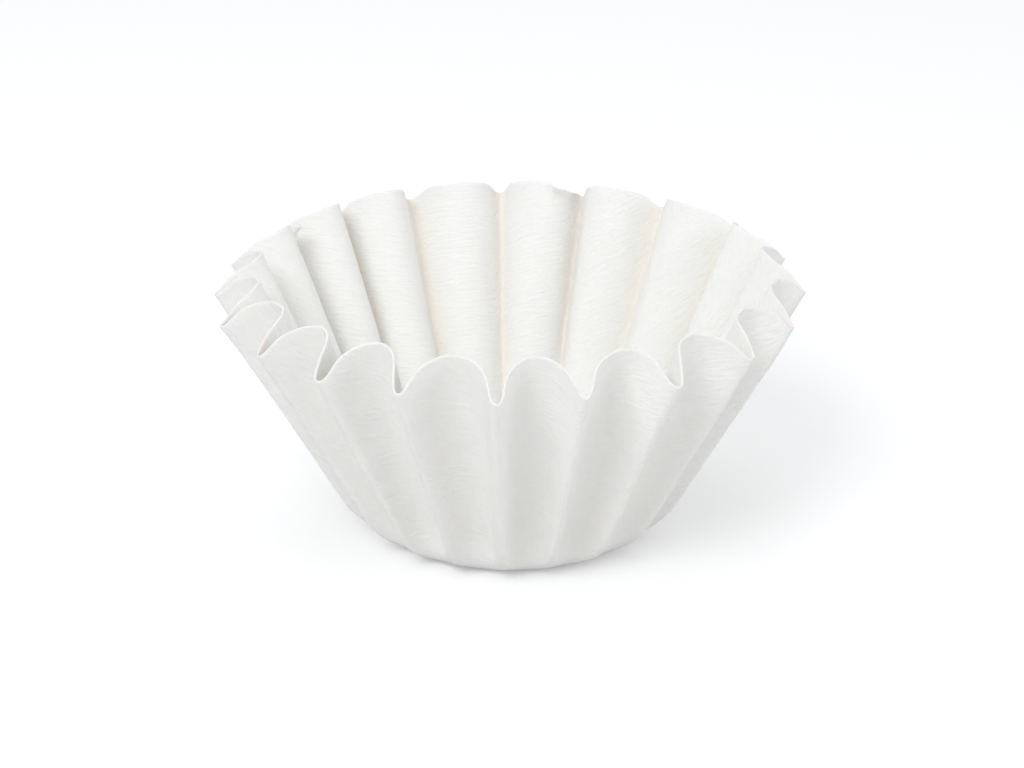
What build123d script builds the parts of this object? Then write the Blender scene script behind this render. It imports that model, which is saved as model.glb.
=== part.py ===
from build123d import *
from math import cos, hypot, pi, radians, sin, tan
import os

# A paper coffee filter: one disc of paper with a flat round base and a
# wall gathered into flutes. Millimetres, +Z up, origin under the middle
# of the base. Angles are in degrees.

# Driving dimensions
sheet_diameter = 155.0
base_diameter = 50.0
flute_count = 20
paper_thickness = 0.4
wall_lean = 26.0

# Flutes: the sharp fold lines stand out and in by a share of the wall's
# radius, and are then rounded, the outer crests more tightly
fold_share = 0.126
crest_radius = 0.9
valley_radius = 3.0

# Unevenness of hand-opened paper: towards the open side the flutes are
# shallower and wider. Each fold line is also a little out of step, by
# waves that run whole times round the wall.
open_side = 45.0
open_share = 0.08
open_spread = 5.0
drift_share = 0.04
share_waves = 11
drift_angle = 0.5
angle_waves = 7

# Foot: the flat of the base, and the shallow slope round it
flat_diameter = 43.6
foot_slope = 28.0
foot_radius = 3.0

# Derived sizes
base_radius = base_diameter / 2
slant_length = (sheet_diameter - base_diameter) / 2
# the wall is made as tall as its slant length, and its rim is then trimmed
blank_height = slant_length
# all fold lines are straight and would meet this far below the base
meeting_depth = base_radius / tan(radians(wall_lean))
blank_growth = (blank_height + meeting_depth) / meeting_depth
# outside every crest at the height of the base
blank_radius = base_radius * (1 + 2 * fold_share)
# past every crest, at any height
beyond_wall = sheet_diameter
# the rim's trimming arc passes the wall by this angle on both sides
rim_reach = 20.0


def fold_point(index, height=0.0):
    """Point of a fold line: even ones are outer crests, odd ones inner valleys."""
    even_turn = index * pi / flute_count
    past_open_side = even_turn - radians(open_side)
    turn = even_turn + radians(open_spread) * sin(past_open_side)
    turn += radians(drift_angle) * sin(angle_waves * even_turn)
    uneven = 1 - open_share * cos(past_open_side)
    uneven += drift_share * sin(share_waves * even_turn)
    outward = 1 if index % 2 == 0 else -1
    growth = (height + meeting_depth) / meeting_depth
    radius = base_radius * (1 + outward * fold_share * uneven) * growth
    return Vector(radius * cos(turn), radius * sin(turn), height)


def groove_outline(index):
    """Wedge from a valley line out past the crests on both sides of it."""
    valley = fold_point(index)
    sides = [fold_point(index - 1) - valley, fold_point(index + 1) - valley]
    far = [valley + side * (slant_length / side.length) for side in sides]
    with BuildSketch() as outline:
        with BuildLine():
            Polyline(valley, *far, close=True)
        make_face()
    return outline.sketch


def from_axis(edge):
    """Distance of an edge's middle from the vertical axis."""
    middle = edge.position_at(0.5)
    return hypot(middle.X, middle.Y)


def fold_lines(solid):
    """Edges that run up the wall, innermost first."""
    tall = [e for e in solid.edges() if e.bounding_box().size.Z > blank_height / 2]
    return sorted(tall, key=from_axis)


with BuildPart() as coffee_filter:
    # Cone-shaped blank with one groove for each valley, which leaves flat
    # flanks between straight fold lines
    with Locations((0, 0, blank_height / 2)):
        Cone(blank_radius, blank_radius * blank_growth, blank_height)
    for index in range(1, 2 * flute_count, 2):
        valley_line = fold_point(index, blank_height) - fold_point(index)
        extrude(
            groove_outline(index),
            amount=valley_line.length * blank_growth,
            dir=valley_line.normalized(),
            mode=Mode.SUBTRACT,
        )

    # Soft folds
    fillet(fold_lines(coffee_filter)[:flute_count], valley_radius)
    fillet(fold_lines(coffee_filter)[-flute_count:], crest_radius)

    # Rounded foot, on which the flutes run out before they reach the base
    with BuildSketch(Plane.XZ):
        with BuildLine():
            slope_end = (
                flat_diameter / 2 + beyond_wall * cos(radians(foot_slope)),
                beyond_wall * sin(radians(foot_slope)),
            )
            FilletPolyline(
                (0, 0), (flat_diameter / 2, 0), slope_end, radius=foot_radius
            )
            Polyline(slope_end, (0, slope_end[1]), (0, 0))
        make_face()
    revolve(axis=Axis.Z, mode=Mode.INTERSECT)

    # One sheet of even thickness, open at the top
    top = coffee_filter.faces().sort_by(Axis.Z)[-1]
    offset(amount=-paper_thickness, openings=top)

    # Rim: the sheet's edge is everywhere one slant length from the base
    # edge, so it dips at each crest and rises at each valley
    with BuildSketch(Plane.XZ):
        with BuildLine():
            rim_start = 90 - wall_lean - rim_reach
            rim = CenterArc((base_radius, 0), slant_length, rim_start, 2 * rim_reach)
            outer_end, inner_end = rim @ 0, rim @ 1
            Polyline(
                inner_end,
                (inner_end.X, beyond_wall),
                (beyond_wall, beyond_wall),
                (beyond_wall, outer_end.Y),
                outer_end,
            )
        make_face()
    revolve(axis=Axis.Z, mode=Mode.SUBTRACT)

coffee_filter.part.label = "fluted_sheet"
os.makedirs("parts", exist_ok=True)
export_step(coffee_filter.part, "parts/fluted_sheet.step")
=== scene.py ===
"""Looks of a white paper coffee filter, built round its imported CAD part.

Metres, +Z up, origin under the middle of the base, as in the frame.
"""

import logging
import math
from dataclasses import dataclass, field, fields
from enum import Enum
from typing import Optional, Union

import bpy
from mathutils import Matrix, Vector


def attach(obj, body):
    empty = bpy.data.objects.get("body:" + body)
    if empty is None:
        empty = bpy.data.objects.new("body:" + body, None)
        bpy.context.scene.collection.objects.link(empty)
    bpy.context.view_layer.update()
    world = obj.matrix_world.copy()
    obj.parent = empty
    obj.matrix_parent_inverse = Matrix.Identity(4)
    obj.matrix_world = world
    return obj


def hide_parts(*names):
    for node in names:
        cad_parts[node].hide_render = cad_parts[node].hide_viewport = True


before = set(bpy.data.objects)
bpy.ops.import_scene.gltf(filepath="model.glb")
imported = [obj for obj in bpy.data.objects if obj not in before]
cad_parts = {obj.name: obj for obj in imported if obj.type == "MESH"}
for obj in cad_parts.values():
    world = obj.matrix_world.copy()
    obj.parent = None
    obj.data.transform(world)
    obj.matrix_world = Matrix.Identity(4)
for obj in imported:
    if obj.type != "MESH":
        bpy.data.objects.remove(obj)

LOG = logging.getLogger("coffee_filter")
MM = 0.001

Tree = bpy.types.NodeTree
Socket = bpy.types.NodeSocket
Triple = tuple[float, float, float]
Number = Union["Term", float, int]
Colour = Union[Triple, Socket]

WHITE: Triple = (1.0, 1.0, 1.0)
DAYLIGHT: Triple = (0.965, 0.98, 1.0)


class Sum(Enum):
    """Operations of a Math node."""

    ADD = "ADD"
    SUBTRACT = "SUBTRACT"
    MULTIPLY = "MULTIPLY"
    DIVIDE = "DIVIDE"
    POWER = "POWER"
    SINE = "SINE"
    COSINE = "COSINE"
    MAXIMUM = "MAXIMUM"


class Join(Enum):
    """Operations of a Vector Math node."""

    ADD = "ADD"
    MULTIPLY = "MULTIPLY"
    DOT = "DOT_PRODUCT"
    UNIT = "NORMALIZE"


class Climb(Enum):
    """Ways for a number to pass from 0 to 1."""

    STRAIGHT = "LINEAR"
    SOFT = "SMOOTHSTEP"


class Mark(Enum):
    """Attributes that the sheet carries for its material."""

    FLAT_PLACE = "flat_place"
    FOLD_SIDE = "fold_side"


class Kind(Enum):
    """Data types of an attribute."""

    NUMBER = "FLOAT"
    VECTOR = "FLOAT_VECTOR"


class Move(Enum):
    """Ways to move a point, by the input of Set Position that does it."""

    TO = "Position"
    BY = "Offset"


class Pattern(Enum):
    """Patterns of unevenness, each with what it adds to the sheet's seed."""

    SWAY = 0
    WANDER = 20
    DENTS = 40
    CURL = 60
    STRAY = 80


class Term:
    """A number in a node tree, which grows by ordinary arithmetic."""

    def __init__(self, tree: Tree, socket: Socket) -> None:
        """Wraps an output socket.

        Args:
            tree: The tree that the socket is in.
            socket: The output that gives the number.
        """
        self.tree = tree
        self.socket = socket

    def worked(self, operation: Sum, *others: Number) -> "Term":
        """Adds a Math node that starts from this number.

        Args:
            operation: What the node does.
            others: The numbers after this one.

        Returns:
            The node's result.
        """
        node = self.tree.nodes.new("ShaderNodeMath")
        node.operation = operation.value
        for place, value in enumerate((self, *others)):
            plug(self.tree, value, node.inputs[place])
        return Term(self.tree, node.outputs[0])

    def __add__(self, other: Number) -> "Term":
        """This number plus another."""
        return self.worked(Sum.ADD, other)

    def __sub__(self, other: Number) -> "Term":
        """This number less another."""
        return self.worked(Sum.SUBTRACT, other)

    def __rsub__(self, other: float) -> "Term":
        """Another number less this one."""
        return self.worked(Sum.MULTIPLY, -1.0) + other

    def __mul__(self, other: Number) -> "Term":
        """This number times another."""
        return self.worked(Sum.MULTIPLY, other)

    def __truediv__(self, other: Number) -> "Term":
        """This number over another."""
        return self.worked(Sum.DIVIDE, other)

    def __pow__(self, other: Number) -> "Term":
        """This number raised to a power."""
        return self.worked(Sum.POWER, other)

    def sin(self) -> "Term":
        """Sine of this number, in radians."""
        return self.worked(Sum.SINE)

    def cos(self) -> "Term":
        """Cosine of this number, in radians."""
        return self.worked(Sum.COSINE)

    def at_least(self, other: Number) -> "Term":
        """The larger of this number and another."""
        return self.worked(Sum.MAXIMUM, other)

    def passed(self, climb: Climb, low: Number, high: Number) -> "Term":
        """Passes from 0 to 1 while this number grows, and stays between them.

        Args:
            climb: How it passes.
            low: The number at which it leaves 0.
            high: The number at which it reaches 1.

        Returns:
            A number from 0 to 1.
        """
        node = self.tree.nodes.new("ShaderNodeMapRange")
        node.interpolation_type = climb.value
        for name, value in (("Value", self), ("From Min", low), ("From Max", high)):
            plug(self.tree, value, node.inputs[name])
        return Term(self.tree, node.outputs["Result"])

    def step(self, low: Number, high: Number) -> "Term":
        """Soft step from 0 at low to 1 at high."""
        return self.passed(Climb.SOFT, low, high)

    def ramp(self, low: Number, high: Number) -> "Term":
        """Straight step from 0 at low to 1 at high."""
        return self.passed(Climb.STRAIGHT, low, high)


def plug(tree: Tree, value: Number, socket: Socket) -> None:
    """Feeds a number or a term to a socket.

    Args:
        tree: The tree that the socket is in.
        value: A plain number, or a term to link.
        socket: The input to feed.
    """
    if isinstance(value, Term):
        tree.links.new(value.socket, socket)
    else:
        socket.default_value = value


def split(tree: Tree, place: Socket) -> tuple[Term, Term, Term]:
    """Takes a vector apart.

    Args:
        tree: The tree to add the node to.
        place: The vector.

    Returns:
        Its X, Y and Z.
    """
    node = tree.nodes.new("ShaderNodeSeparateXYZ")
    tree.links.new(place, node.inputs[0])
    x, y, z = (Term(tree, part) for part in node.outputs)
    return x, y, z


def ring(tree: Tree, turn: Term, radius: Number, height: Number = 0.0) -> Socket:
    """Point beside the vertical axis.

    Args:
        tree: The tree to add the nodes to.
        turn: Turn round the axis, in radians.
        radius: Distance from the axis.
        height: Height along the axis.

    Returns:
        The point's socket.
    """
    node = tree.nodes.new("ShaderNodeCombineXYZ")
    for place, part in enumerate((turn.cos() * radius, turn.sin() * radius, height)):
        plug(tree, part, node.inputs[place])
    return node.outputs[0]


def join(
    tree: Tree,
    operation: Join,
    first: Socket,
    second: Optional[Union[Socket, Triple]] = None,
) -> Socket:
    """Adds a Vector Math node.

    Args:
        tree: The tree to add the node to.
        operation: What the node does.
        first: Its first vector.
        second: Its second vector, plain or linked, if it has one.

    Returns:
        The result's socket.
    """
    node = tree.nodes.new("ShaderNodeVectorMath")
    node.operation = operation.value
    tree.links.new(first, node.inputs[0])
    if isinstance(second, tuple):
        node.inputs[1].default_value = second
    elif second is not None:
        tree.links.new(second, node.inputs[1])
    return node.outputs["Value" if operation is Join.DOT else "Vector"]


def tint(share: Term, first: Colour, second: Colour) -> Socket:
    """Colour between two others.

    Args:
        share: 0 gives the first colour, and 1 the second.
        first: A plain colour, or the socket of one.
        second: A plain colour, or the socket of one.

    Returns:
        The colour's socket.
    """
    node = share.tree.nodes.new("ShaderNodeMix")
    node.data_type = "RGBA"
    plug(share.tree, share, node.inputs["Factor"])
    for name, colour in (("A", first), ("B", second)):
        if isinstance(colour, tuple):
            node.inputs[name].default_value = (*colour, 1.0)
        else:
            share.tree.links.new(colour, node.inputs[name])
    return node.outputs["Result"]


def lumps(
    tree: Tree, place: Socket, scale: Number, seed: Number, detail: Number = 1.0
) -> Term:
    """Seeded noise from about -0.5 to 0.5.

    Args:
        tree: The tree to add the nodes to.
        place: Where the noise is read.
        scale: Lumps for each unit of place.
        seed: Picks the pattern.
        detail: How many finer layers are added.

    Returns:
        The noise at each point.
    """
    node = tree.nodes.new("ShaderNodeTexNoise")
    node.noise_dimensions = "4D"
    tree.links.new(place, node.inputs["Vector"])
    for name, value in (("W", seed), ("Scale", scale), ("Detail", detail)):
        plug(tree, value, node.inputs[name])
    return Term(tree, node.outputs[0]) - 0.5


def camera_ray(tree: Tree) -> Term:
    """1 for what the camera sees directly, and 0 for all other light."""
    return Term(tree, tree.nodes.new("ShaderNodeLightPath").outputs["Is Camera Ray"])


@dataclass(frozen=True)
class Grain:
    """One pattern of the paper, stretched along the crepe.

    Run and pitch are the size of a lump along and across the crepe, and
    detail is how many finer layers it has. A pattern of colour alone has
    no height.
    """

    run: float
    pitch: float
    detail: float
    height: float = 0.0


@dataclass(frozen=True)
class PaperFinish:
    """Soft white creped filter paper.

    The wrinkles of the crepe run straight across the flat sheet, so they
    lie level on one part of the folded wall and climb it on another.
    """

    name: str = "filter_paper"
    white: Triple = (0.916, 0.908, 0.886)
    cloudy: Triple = (0.894, 0.886, 0.864)
    # painted warm shade of the grooves on the inner face
    groove_painted_shade: Triple = (0.895, 0.865, 0.808)
    # painted shade of the rim's cut edge, which faces the lamps
    cut_edge: Triple = (0.83, 0.822, 0.8)
    roughness: float = 0.92
    specular: float = 0.2
    subsurface: float = 0.2
    subsurface_tint: Triple = (1.0, 0.8, 0.6)
    subsurface_reach: float = 0.5 * MM

    clouds: Grain = Grain(run=4.0 * MM, pitch=4.0 * MM, detail=2.0)
    crepe: Grain = Grain(run=2.2 * MM, pitch=0.6 * MM, detail=2.0, height=0.2 * MM)
    fibre: Grain = Grain(run=0.5 * MM, pitch=0.28 * MM, detail=1.0, height=0.06 * MM)
    crepe_turn: float = math.radians(12.0)

    # where the painted warm shade of a groove begins, from -1 at a valley to 1 at a crest
    groove_start: float = -0.2
    # softness of the change from the inner face to the outer one
    face_change: float = 1.0 * MM
    # the rim's edge, where shade is painted, lies above this height and faces this much
    # up the wall
    edge_above: float = 30.0 * MM
    edge_change: float = 1.0 * MM
    edge_facing_least: float = 0.4
    edge_facing_full: float = 0.7

    def material(self, meeting_depth: float) -> bpy.types.Material:
        """Builds the paper's material.

        Args:
            meeting_depth: How far below the base all the fold lines meet.

        Returns:
            The material, which reads the sheet's own marks.
        """
        material = bpy.data.materials.new(self.name)
        material.use_nodes = True
        tree = material.node_tree
        shader = tree.nodes["Principled BSDF"]
        for name, value in (
            ("Roughness", self.roughness),
            ("Specular IOR Level", self.specular),
            ("Subsurface Weight", self.subsurface),
            ("Subsurface Radius", self.subsurface_tint),
            ("Subsurface Scale", self.subsurface_reach),
        ):
            shader.inputs[name].default_value = value

        colour = tint(self.grain(tree, self.clouds), self.cloudy, self.white)
        # painted warm shade in the grooves of the inner face, standing in for light
        # bounced between the folds
        colour = tint(self.groove(tree), colour, self.groove_painted_shade)
        # painted shade on the up-facing cut edge of the rim, so that the lit edge reads
        # less bright
        colour = tint(self.edge(tree, meeting_depth), colour, self.cut_edge)
        tree.links.new(colour, shader.inputs["Base Color"])

        coarse = self.bump(tree, self.crepe)
        tree.links.new(self.bump(tree, self.fibre, coarse), shader.inputs["Normal"])
        return material

    def groove(self, tree: Tree) -> Term:
        """Marks the grooves of the inner face, where the warm light that paper throws on
        paper is painted into the colour as warm shade.

        Args:
            tree: The material's tree.

        Returns:
            A number from 0 to 1.
        """
        fold = tree.nodes.new("ShaderNodeAttribute")
        fold.attribute_name = Mark.FOLD_SIDE.value
        place = tree.nodes.new("ShaderNodeTexCoord")
        level = join(tree, Join.MULTIPLY, place.outputs["Object"], (1.0, 1.0, 0.0))
        facing = Term(tree, join(tree, Join.DOT, place.outputs["Normal"], level))
        inner = 1.0 - facing.step(-self.face_change, self.face_change)
        return (Term(tree, fold.outputs["Fac"]) * inner).step(self.groove_start, 1.0)

    def edge(self, tree: Tree, meeting_depth: float) -> Term:
        """Marks the cut edge of the rim, which faces the lamps and is darkened there as
        painted shade.

        Args:
            tree: The material's tree.
            meeting_depth: How far below the base all the fold lines meet.

        Returns:
            A number from 0 to 1.
        """
        place = tree.nodes.new("ShaderNodeTexCoord")
        height = split(tree, place.outputs["Object"])[2]
        rim = height.step(self.edge_above, self.edge_above + self.edge_change)
        # away from where the fold lines meet is up the wall
        meeting = (0.0, 0.0, meeting_depth)
        up_wall = join(tree, Join.ADD, place.outputs["Object"], meeting)
        up_wall = join(tree, Join.UNIT, up_wall)
        facing = Term(tree, join(tree, Join.DOT, place.outputs["Normal"], up_wall))
        return facing.step(self.edge_facing_least, self.edge_facing_full) * rim

    def grain(self, tree: Tree, grain: Grain) -> Term:
        """Noise on the flat sheet.

        Args:
            tree: The material's tree.
            grain: The pattern's sizes.

        Returns:
            A number from 0 to 1.
        """
        flat = tree.nodes.new("ShaderNodeAttribute")
        flat.attribute_name = Mark.FLAT_PLACE.value
        stretch = tree.nodes.new("ShaderNodeMapping")
        stretch.vector_type = "TEXTURE"
        stretch.inputs["Rotation"].default_value = (0.0, 0.0, self.crepe_turn)
        stretch.inputs["Scale"].default_value = (grain.run, grain.pitch, 1.0)
        tree.links.new(flat.outputs["Vector"], stretch.inputs["Vector"])
        node = tree.nodes.new("ShaderNodeTexNoise")
        node.inputs["Scale"].default_value = 1.0
        node.inputs["Detail"].default_value = grain.detail
        tree.links.new(stretch.outputs["Vector"], node.inputs["Vector"])
        return Term(tree, node.outputs[0])

    def bump(self, tree: Tree, grain: Grain, below: Optional[Socket] = None) -> Socket:
        """Bump of a real height.

        Args:
            tree: The material's tree.
            grain: The pattern's sizes.
            below: Normal of the coarser pattern, if there is one.

        Returns:
            The normal's socket.
        """
        node = tree.nodes.new("ShaderNodeBump")
        node.inputs["Distance"].default_value = grain.height
        plug(tree, self.grain(tree, grain), node.inputs["Height"])
        if below is not None:
            tree.links.new(below, node.inputs["Normal"])
        return node.outputs["Normal"]


@dataclass(frozen=True)
class SheetSizes:
    """Sizes of the folded sheet, each of them a named input of its tree.

    The first ones repeat the CAD part's own sizes. A pace says how fast a
    pattern changes round the wall, and a rise how fast it changes for each
    metre up the wall.
    """

    base_radius: float = 25.0 * MM
    slant_length: float = 52.5 * MM
    flutes: int = 20
    wall_lean: float = math.radians(26.0)
    fold_share: float = 0.126
    open_side: float = math.radians(45.0)
    open_share: float = 0.08
    open_spread: float = math.radians(5.0)
    drift_share: float = 0.04
    share_waves: int = 11
    drift_angle: float = math.radians(0.5)
    angle_waves: int = 7

    # Foot, and how the folds are rounded
    foot_ease: float = 4.5 * MM
    flute_start: float = -1.0 * MM
    flute_full: float = 9.0 * MM
    crest_cut: float = 1.0 * MM
    valley_cut: float = 1.98 * MM
    valley_breadth: float = 0.66
    valley_roundness: float = 0.05
    fullness: float = 0.15
    fullness_growth: int = 4

    # Unevenness of handled paper
    sway: float = 1.3 * MM
    sway_pace: float = 1.3
    sway_rise: float = 12.0
    stray: float = math.radians(5.0)
    stray_pace: float = 3.2
    dent: float = 0.35 * MM
    dents_per_metre: float = 150.0
    dent_detail: float = 2.0
    dent_start: float = 2.0 * MM
    dent_full: float = 12.0 * MM

    # Rim
    rim_wander: float = 0.5 * MM
    wander_pace: float = 4.0
    rim_dip: float = 1.4 * MM
    dip_start: float = -0.3
    rim_curl: float = 3.2 * MM
    curl_pace: float = 8.0
    curl_start: float = 42.0 * MM
    first_tuck: float = math.radians(77.0)
    second_tuck: float = math.radians(149.0)
    tuck_depth: float = 3.6 * MM
    tuck_drop: float = 1.3 * MM
    tuck_width: float = 3.6 * MM
    tuck_height: float = 4.5 * MM

    # Points of the mesh
    columns_per_flute: int = 40
    middle_rows: int = 5
    foot_rows: int = 20
    foot_reach: float = 6.0 * MM
    wall_rows: int = 31
    row_crowding: float = 1.3
    merge_reach: float = 0.004 * MM
    seed: float = 4.0

    def inputs(self) -> dict[str, Union[float, int]]:
        """Values of the tree's inputs, where wall_lean is Wall Lean."""
        names = [size.name for size in fields(self)]
        return {name.replace("_", " ").title(): getattr(self, name) for name in names}

    def meeting_depth(self) -> float:
        """How far below the base all the fold lines meet."""
        return self.base_radius / math.tan(self.wall_lean)


class Folding:
    """Geometry Nodes tree that lays the sheet out flat and folds it.

    The sheet starts as a grid, from its middle to its edge and once round,
    and each point is then moved to where folding takes it.
    """

    def __init__(self, sizes: SheetSizes) -> None:
        """Starts the tree, with a named input for each size.

        Args:
            sizes: Gives the name and the kind of each input.
        """
        self.tree = bpy.data.node_groups.new("Fluted Sheet", "GeometryNodeTree")
        sockets = self.tree.interface
        sockets.new_socket("Geometry", in_out="OUTPUT", socket_type="NodeSocketGeometry")
        for name, value in sizes.inputs().items():
            kind = "NodeSocketInt" if isinstance(value, int) else "NodeSocketFloat"
            sockets.new_socket(name, in_out="INPUT", socket_type=kind)
        given = self.tree.nodes.new("NodeGroupInput").outputs
        self.size = {name: Term(self.tree, given[name]) for name in sizes.inputs()}

        # the grid is one unit wide and deep, and lies round its own middle
        spot = self.tree.nodes.new("GeometryNodeInputPosition").outputs[0]
        x, y, _ = split(self.tree, spot)
        around = x + 0.5
        self.outward = y + 0.5
        self.turn = around * math.tau
        # a crest is at each whole turn of the phase, and a valley at each half
        self.phase = around * self.size["Flutes"] * math.tau

    def build(self, paper: bpy.types.Material) -> Tree:
        """Builds the rest of the tree.

        Args:
            paper: The material to set.

        Returns:
            The tree.
        """
        grid = self.tree.nodes.new("GeometryNodeMeshGrid")
        for name in ("Size X", "Size Y"):
            grid.inputs[name].default_value = 1.0
        columns = self.size["Flutes"] * self.size["Columns Per Flute"]
        plug(self.tree, columns + 1, grid.inputs["Vertices X"])
        plug(self.tree, self.rows() + 1, grid.inputs["Vertices Y"])

        radius = self.flat_radius()
        flat = ring(self.tree, self.turn, radius)
        side = (self.phase.cos() * self.fade(radius)).socket
        shape = self.marked(grid.outputs["Mesh"], Mark.FLAT_PLACE, Kind.VECTOR, flat)
        shape = self.marked(shape, Mark.FOLD_SIDE, Kind.NUMBER, side)
        shape = self.moved(shape, Move.TO, self.folded_place(radius))
        closed = self.after(shape, "GeometryNodeMergeByDistance")
        plug(self.tree, self.size["Merge Reach"], closed.inputs["Distance"])
        shape = self.moved(closed.outputs["Geometry"], Move.BY, self.dents())

        smooth = self.after(shape, "GeometryNodeSetShadeSmooth")
        real = self.after(smooth.outputs["Geometry"], "GeometryNodeRealizeInstances")
        dressed = self.after(real.outputs["Geometry"], "GeometryNodeSetMaterial")
        dressed.inputs["Material"].default_value = paper
        self.after(dressed.outputs["Geometry"], "NodeGroupOutput")
        return self.tree

    def after(self, shape: Socket, kind: str) -> bpy.types.Node:
        """Adds a node that takes a shape.

        Args:
            shape: The shape's socket.
            kind: The node's type.

        Returns:
            The node.
        """
        node = self.tree.nodes.new(kind)
        self.tree.links.new(shape, node.inputs[0])
        return node

    def marked(self, shape: Socket, mark: Mark, kind: Kind, value: Socket) -> Socket:
        """Stores an attribute for the material.

        Args:
            shape: The shape's socket.
            mark: The attribute.
            kind: The attribute's data type.
            value: The attribute's value at each point.

        Returns:
            The marked shape's socket.
        """
        store = self.after(shape, "GeometryNodeStoreNamedAttribute")
        store.data_type = kind.value
        store.inputs["Name"].default_value = mark.value
        self.tree.links.new(value, store.inputs["Value"])
        return store.outputs["Geometry"]

    def moved(self, shape: Socket, move: Move, value: Socket) -> Socket:
        """Moves each point of a shape.

        Args:
            shape: The shape's socket.
            move: Whether it moves to the value or by it.
            value: A place, or a distance and direction, for each point.

        Returns:
            The moved shape's socket.
        """
        node = self.after(shape, "GeometryNodeSetPosition")
        self.tree.links.new(value, node.inputs[move.value])
        return node.outputs["Geometry"]

    def rows(self) -> Term:
        """Count of the spaces between rows, from the middle to the rim."""
        size = self.size
        return size["Middle Rows"] + size["Foot Rows"] + size["Wall Rows"]

    def flat_radius(self) -> Term:
        """Distance of a point from the middle of the flat sheet.

        Rows of points lie closest together at the foot and the rim, where
        the sheet bends most. The edge wanders a little, and dips at each
        crest.

        Returns:
            The distance in metres.
        """
        size = self.size
        rows = self.rows()
        foot_start = size["Middle Rows"] / rows
        foot_end = (size["Middle Rows"] + size["Foot Rows"]) / rows
        reach = size["Foot Reach"]
        middle = self.outward.ramp(0.0, foot_start) * (size["Base Radius"] - reach)
        foot = self.outward.ramp(foot_start, foot_end) * reach * 2
        left = 1.0 - self.outward.ramp(foot_end, 1.0)
        wall = 1.0 - left ** size["Row Crowding"]
        wander = self.uneven(Pattern.WANDER, self.turn, size["Wander Pace"])
        wander = wander * size["Rim Wander"]
        dip = self.phase.cos().step(size["Dip Start"], 1.0) * size["Rim Dip"]
        return middle + foot + wall * (size["Slant Length"] - reach + wander - dip)

    def fade(self, radius: Term) -> Term:
        """Share of a flute's full depth at a distance from the middle."""
        up_slope = radius - self.size["Base Radius"]
        return up_slope.step(self.size["Flute Start"], self.size["Flute Full"])

    def uneven(
        self, pattern: Pattern, turn: Term, pace: Number, height: Number = 0.0
    ) -> Term:
        """Unevenness that runs round the wall without a seam.

        Args:
            pattern: Which pattern it is.
            turn: Turn of a point round the wall.
            pace: How fast it changes round the wall.
            height: Place of a point up the wall, where it changes there too.

        Returns:
            A number from about -0.5 to 0.5.
        """
        place = ring(self.tree, turn, pace, height)
        return lumps(self.tree, place, 1.0, self.size["Seed"] + pattern.value)

    def folded_place(self, radius: Term) -> Socket:
        """Where folding takes a point of the sheet.

        The sheet first bends up at the foot and then waves to and fro,
        square to the wall, so that it keeps its length up the wall.

        Args:
            radius: Distance from the middle of the flat sheet.

        Returns:
            The place's socket.
        """
        size = self.size
        ease = size["Foot Ease"]
        lean_in, lean_up = size["Wall Lean"].sin(), size["Wall Lean"].cos()
        up_slope = radius - size["Base Radius"]
        bend = up_slope.ramp(ease * -1, ease)
        risen = bend * bend * ease + (up_slope - ease).at_least(0.0)
        out = size["Base Radius"] + up_slope - risen + risen * lean_in
        up = risen * lean_up

        # the flutes, and the soft unevenness that grows towards the rim
        climb = up_slope.ramp(0.0, size["Slant Length"])
        turn = self.folded_turn(radius, climb)
        wave = self.wave(out, radius)
        rise = up_slope * size["Sway Rise"]
        sway = self.uneven(Pattern.SWAY, turn, size["Sway Pace"], rise) * size["Sway"]
        curl = self.uneven(Pattern.CURL, turn, size["Curl Pace"]) * size["Rim Curl"]
        curl = curl * (up_slope.ramp(size["Curl Start"], size["Slant Length"]) ** 2)
        tuck = self.tucked(up_slope)
        wave = (wave + sway * climb + curl) * lean_up - tuck * size["Tuck Depth"]
        out = out + wave * lean_up
        up = up - wave * lean_in - tuck * size["Tuck Drop"]
        return ring(self.tree, turn, out, up)

    def depth(self) -> Term:
        """Share of a flute's usual depth, which is less on the open side."""
        size = self.size
        drift = (self.turn * size["Share Waves"]).sin() * size["Drift Share"] + 1.0
        return drift - (self.turn - size["Open Side"]).cos() * size["Open Share"]

    def wave(self, out: Term, radius: Term) -> Term:
        """How far a point stands out from the middle of the wall.

        Args:
            out: Distance of the middle of the wall from the axis.
            radius: Distance from the middle of the flat sheet.

        Returns:
            The distance in metres.
        """
        size = self.size
        cuts = (size["Crest Cut"] + size["Valley Cut"]) / 2
        height = out * size["Fold Share"] * self.depth() - cuts
        shift = (size["Valley Cut"] - size["Crest Cut"]) / 2
        roundness = 1.0 - (self.phase * 2).cos()
        beat = self.phase.cos() + roundness * size["Valley Roundness"]
        return (beat * height + shift) * self.fade(radius)

    def folded_turn(self, radius: Term, climb: Term) -> Term:
        """Turn of a folded point, with broad valleys and a wider open side.

        Args:
            radius: Distance from the middle of the flat sheet.
            climb: Share of the way up the wall.

        Returns:
            The turn in radians.
        """
        size = self.size
        growth = self.depth() ** size["Fullness Growth"]
        crowd = (self.phase * 2).sin() * size["Fullness"] * growth
        crowd = (crowd - self.phase.sin() * size["Valley Breadth"]) * self.fade(radius)
        turn = self.turn + crowd / size["Flutes"]
        turn = turn + (self.turn - size["Open Side"]).sin() * size["Open Spread"]
        turn = turn + (self.turn * size["Angle Waves"]).sin() * size["Drift Angle"]
        stray = self.uneven(Pattern.STRAY, self.turn, size["Stray Pace"]) * size["Stray"]
        return turn + stray * climb

    def tucked(self, up_slope: Term) -> Term:
        """Marks the two corners of the rim that are bent inwards.

        Args:
            up_slope: Distance of a point from the edge of the base.

        Returns:
            A number from 0 to 1.
        """
        size = self.size
        lip_start = size["Slant Length"] - size["Tuck Height"]
        lip = up_slope.ramp(lip_start, size["Slant Length"])
        reach = size["Tuck Width"] / (size["Base Radius"] + size["Slant Length"])
        near = []
        for name in ("First Tuck", "Second Tuck"):
            past = (self.turn - size[name]) / reach
            near.append(1.0 - (past * past).step(0.0, 1.0))
        return (near[0] + near[1]) * lip * lip

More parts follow.
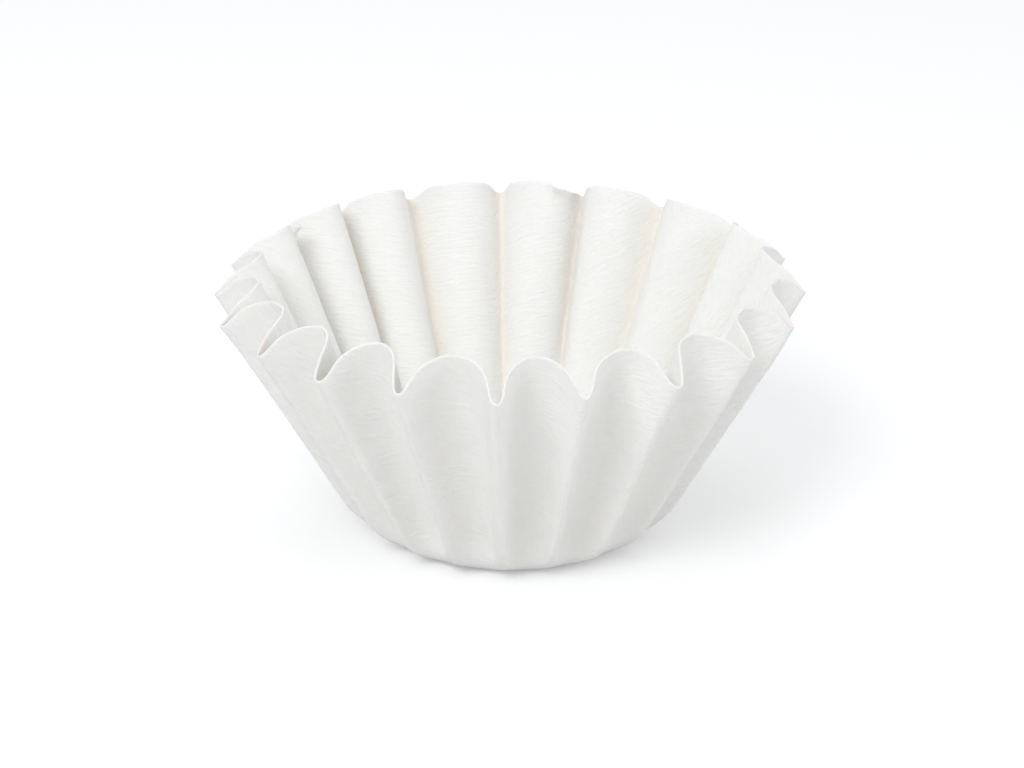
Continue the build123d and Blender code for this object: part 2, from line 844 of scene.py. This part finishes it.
    def dents(self) -> Socket:
        """Soft dents of handled paper, square to the surface.

        Returns:
            The socket of each point's move.
        """
        size = self.size
        spot = self.tree.nodes.new("GeometryNodeInputPosition").outputs[0]
        square = self.tree.nodes.new("GeometryNodeInputNormal").outputs[0]
        above = split(self.tree, spot)[2].step(size["Dent Start"], size["Dent Full"])
        seed = size["Seed"] + Pattern.DENTS.value
        scale, detail = size["Dents Per Metre"], size["Dent Detail"]
        push = lumps(self.tree, spot, scale, seed, detail) * size["Dent"] * above
        offset = self.tree.nodes.new("ShaderNodeVectorMath")
        offset.operation = "SCALE"
        self.tree.links.new(square, offset.inputs[0])
        plug(self.tree, push, offset.inputs["Scale"])
        return offset.outputs[0]


@dataclass
class FlutedSheet:
    """The filter: one disc of paper with a flat base and a fluted wall."""

    name: str = "filter_paper_sheet"
    sizes: SheetSizes = field(default_factory=SheetSizes)
    paper_thickness: float = 0.4 * MM
    edge_softness: float = 0.12 * MM
    edge_segments: int = 2
    sharp_angle: float = math.radians(60.0)

    def build(self, finish: PaperFinish) -> bpy.types.Object:
        """Makes the sheet as a plain mesh.

        Args:
            finish: The paper's look.

        Returns:
            The finished object, at the origin.
        """
        carrier = bpy.data.objects.new("carrier", bpy.data.meshes.new("carrier"))
        bpy.context.scene.collection.objects.link(carrier)
        self.fold(carrier, finish.material(self.sizes.meeting_depth()))
        self.thicken(carrier)
        mesh = bpy.data.meshes.new_from_object(
            carrier.evaluated_get(bpy.context.evaluated_depsgraph_get())
        )
        bpy.data.objects.remove(carrier)
        mesh.name = self.name
        mesh.set_sharp_from_angle(angle=self.sharp_angle)
        sheet = bpy.data.objects.new(self.name, mesh)
        bpy.context.scene.collection.objects.link(sheet)
        LOG.info("%s: %d faces", self.name, len(mesh.polygons))
        return sheet

    def fold(self, carrier: bpy.types.Object, paper: bpy.types.Material) -> None:
        """Adds the modifier that folds the sheet.

        Args:
            carrier: The object that the sheet is made on.
            paper: The sheet's material.
        """
        tree = Folding(self.sizes).build(paper)
        modifier = carrier.modifiers.new("Fluted Sheet", "NODES")
        modifier.node_group = tree
        values = self.sizes.inputs()
        for item in tree.interface.items_tree:
            if item.name in values:
                modifier[item.identifier] = values[item.name]

    def thicken(self, carrier: bpy.types.Object) -> None:
        """Gives the sheet its thickness and a soft cut edge.

        Args:
            carrier: The object that the sheet is made on.
        """
        wall = carrier.modifiers.new("Paper Thickness", "SOLIDIFY")
        wall.thickness = self.paper_thickness
        # all of the thickness is on one side of the folded surface
        wall.offset = -1.0
        wall.use_even_offset = True
        edge = carrier.modifiers.new("Soft Cut Edge", "BEVEL")
        edge.width = self.edge_softness
        edge.segments = self.edge_segments
        edge.limit_method = "ANGLE"
        edge.angle_limit = self.sharp_angle


@dataclass(frozen=True)
class Lamp:
    """A square soft light that faces a point."""

    name: str
    place: Triple
    side: float
    power: float
    colour: Triple = DAYLIGHT

    def build(self, aim: Vector) -> None:
        """Adds the light.

        Args:
            aim: The point that it faces.
        """
        data = bpy.data.lights.new(self.name, "AREA")
        data.size = self.side
        data.energy = self.power
        data.color = self.colour
        lamp = bpy.data.objects.new(self.name, data)
        lamp.location = self.place
        toward = aim - Vector(self.place)
        lamp.rotation_euler = toward.to_track_quat("-Z", "Y").to_euler()
        bpy.context.scene.collection.objects.link(lamp)


@dataclass(frozen=True)
class FloorFinish:
    """Pale matt floor that looks white to the camera but for its shadow."""

    name: str = "pale_floor"
    colour: Triple = (0.754, 0.754, 0.752)
    roughness: float = 0.9
    lift: float = 0.28

    def material(self) -> bpy.types.Material:
        """Builds the floor's material.

        Returns:
            The material, which is lifted to white for the camera alone.
        """
        material = bpy.data.materials.new(self.name)
        material.use_nodes = True
        tree = material.node_tree
        shader = tree.nodes["Principled BSDF"]
        shader.inputs["Base Color"].default_value = (*self.colour, 1.0)
        shader.inputs["Roughness"].default_value = self.roughness
        shader.inputs["Emission Color"].default_value = (*WHITE, 1.0)
        lifted = camera_ray(tree) * self.lift
        plug(tree, lifted, shader.inputs["Emission Strength"])
        return material


@dataclass
class Studio:
    """Pale floor, soft light and the camera at the photograph's angle."""

    lamps: tuple[Lamp, ...] = (
        Lamp("key_softbox", (-0.34, -0.66, 0.76), side=0.42, power=4.35),
        Lamp("fill_softbox", (0.8, -0.42, 0.36), side=0.55, power=1.35),
        Lamp("top_softbox", (-0.1, 0.35, 0.9), side=0.5, power=1.2),
    )
    floor_finish: FloorFinish = FloorFinish()
    floor_side: float = 12.0
    sky: float = 0.65
    elevation: float = math.radians(23.0)
    distance: float = 0.43
    lens: float = 85.0
    nearest: float = 0.01
    farthest: float = 50.0
    aim: Triple = (0.0, 0.0, 0.0255)

    def build(self) -> None:
        """Builds the whole studio."""
        aim = Vector(self.aim)
        self.floor()
        self.world()
        for lamp in self.lamps:
            lamp.build(aim)
        self.camera(aim)

    def floor(self) -> None:
        """Adds the floor."""
        half = self.floor_side / 2
        mesh = bpy.data.meshes.new("floor")
        corners = [(-half, -half, 0), (half, -half, 0), (half, half, 0), (-half, half, 0)]
        mesh.from_pydata(corners, [], [(0, 1, 2, 3)])
        mesh.materials.append(self.floor_finish.material())
        floor = bpy.data.objects.new("floor", mesh)
        bpy.context.scene.collection.objects.link(floor)

    def world(self) -> None:
        """Sets an even pale light all round, seen as white."""
        world = bpy.data.worlds.new("studio")
        bpy.context.scene.world = world
        world.use_nodes = True
        tree = world.node_tree
        red, green, blue = (self.sky * part for part in DAYLIGHT)
        shade = tint(camera_ray(tree), (red, green, blue), WHITE)
        tree.links.new(shade, tree.nodes["Background"].inputs["Color"])

    def camera(self, aim: Vector) -> None:
        """Adds the camera.

        Args:
            aim: The point that it faces.
        """
        data = bpy.data.cameras.new("camera")
        data.lens = self.lens
        data.clip_start = self.nearest
        data.clip_end = self.farthest
        camera = bpy.data.objects.new("camera", data)
        back = Vector((0.0, -math.cos(self.elevation), math.sin(self.elevation)))
        camera.location = aim + back * self.distance
        camera.rotation_euler = (-back).to_track_quat("-Z", "Y").to_euler()
        bpy.context.scene.collection.objects.link(camera)
        bpy.context.scene.camera = camera


def main() -> None:
    """Dresses the frame's one node and sets the studio round it."""
    logging.basicConfig(level=logging.INFO)
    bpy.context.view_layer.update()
    bpy.context.scene.view_settings.view_transform = "Standard"
    sheet = FlutedSheet().build(PaperFinish())
    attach(sheet, "root")
    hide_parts("fluted_sheet")
    LOG.info("%s rides on root", sheet.name)
    Studio().build()


if __name__ == "__main__":
    main()
